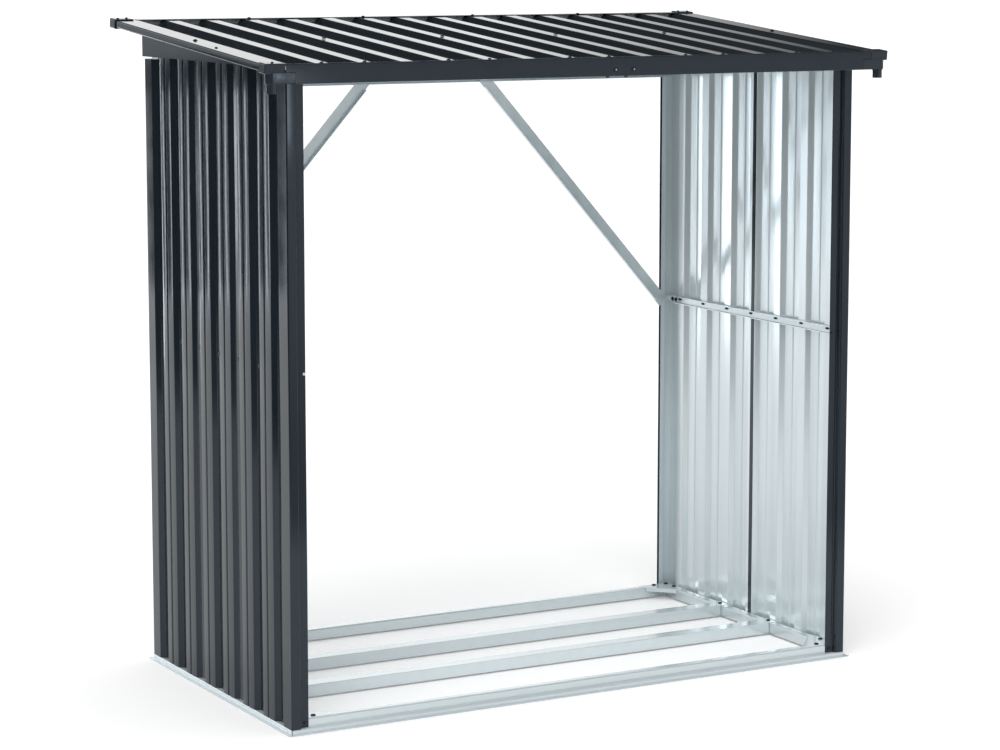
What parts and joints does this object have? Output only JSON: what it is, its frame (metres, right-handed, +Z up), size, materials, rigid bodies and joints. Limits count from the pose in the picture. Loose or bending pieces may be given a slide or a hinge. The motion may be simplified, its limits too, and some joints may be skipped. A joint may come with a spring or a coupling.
{
  "type": "metal log store",
  "caption": "Open metal log store with ribbed side walls, a single-slope ribbed roof with a front gutter, a galvanised base frame and diagonal braces across the open back.",
  "frame": {"origin": "on the ground, at the centre of the outer box's base", "axes": "+X along the length to the right as seen from the front, +Y from the gutter side to the back, +Z up"},
  "size_m": [1.6, 0.877, 1.5328],
  "materials": {
    "painted_steel": "anthracite gloss paint",
    "galvanised_steel": "bare zinc coating",
    "moulded_plastic": "satin anthracite"
  },
  "bodies": {
    "root": {"base_rail_front": "galvanised_steel", "base_rail_rear": "galvanised_steel", "base_rail_left": "galvanised_steel", "base_rail_right": "galvanised_steel", "floor_joist_front": "galvanised_steel", "floor_joist_rear": "galvanised_steel", "corner_plate_front_left": "galvanised_steel", "corner_plate_front_right": "galvanised_steel", "corner_plate_rear_left": "galvanised_steel", "corner_plate_rear_right": "galvanised_steel", "corner_post_front_left": "painted_steel", "corner_post_front_right": "painted_steel", "corner_post_rear_left": "painted_steel", "corner_post_rear_right": "painted_steel", "wall_panel_left_front": "painted_steel", "wall_panel_left_rear": "painted_steel", "wall_panel_right_front": "painted_steel", "wall_panel_right_rear": "painted_steel", "mid_rail_left": "galvanised_steel", "mid_rail_right": "galvanised_steel", "side_top_rail_left": "galvanised_steel", "side_top_rail_right": "galvanised_steel", "front_beam": "galvanised_steel", "rear_beam": "galvanised_steel", "brace_left": "galvanised_steel", "brace_right": "galvanised_steel", "brace_bracket_left": "galvanised_steel", "brace_bracket_right": "galvanised_steel", "gable_plate_left": "painted_steel", "gable_plate_right": "painted_steel", "roof_purlin": "galvanised_steel", "roof_sheet_left": "painted_steel", "roof_sheet_middle": "painted_steel", "roof_sheet_right": "painted_steel", "roof_side_trim_left": "painted_steel", "roof_side_trim_right": "painted_steel", "rear_trim": "painted_steel", "gutter_fascia_left": "painted_steel", "gutter_fascia_right": "painted_steel", "gutter_corner_left": "moulded_plastic", "gutter_corner_right": "moulded_plastic", "rear_cap_left": "moulded_plastic", "rear_cap_right": "moulded_plastic"}
  },
  "joints": []
}
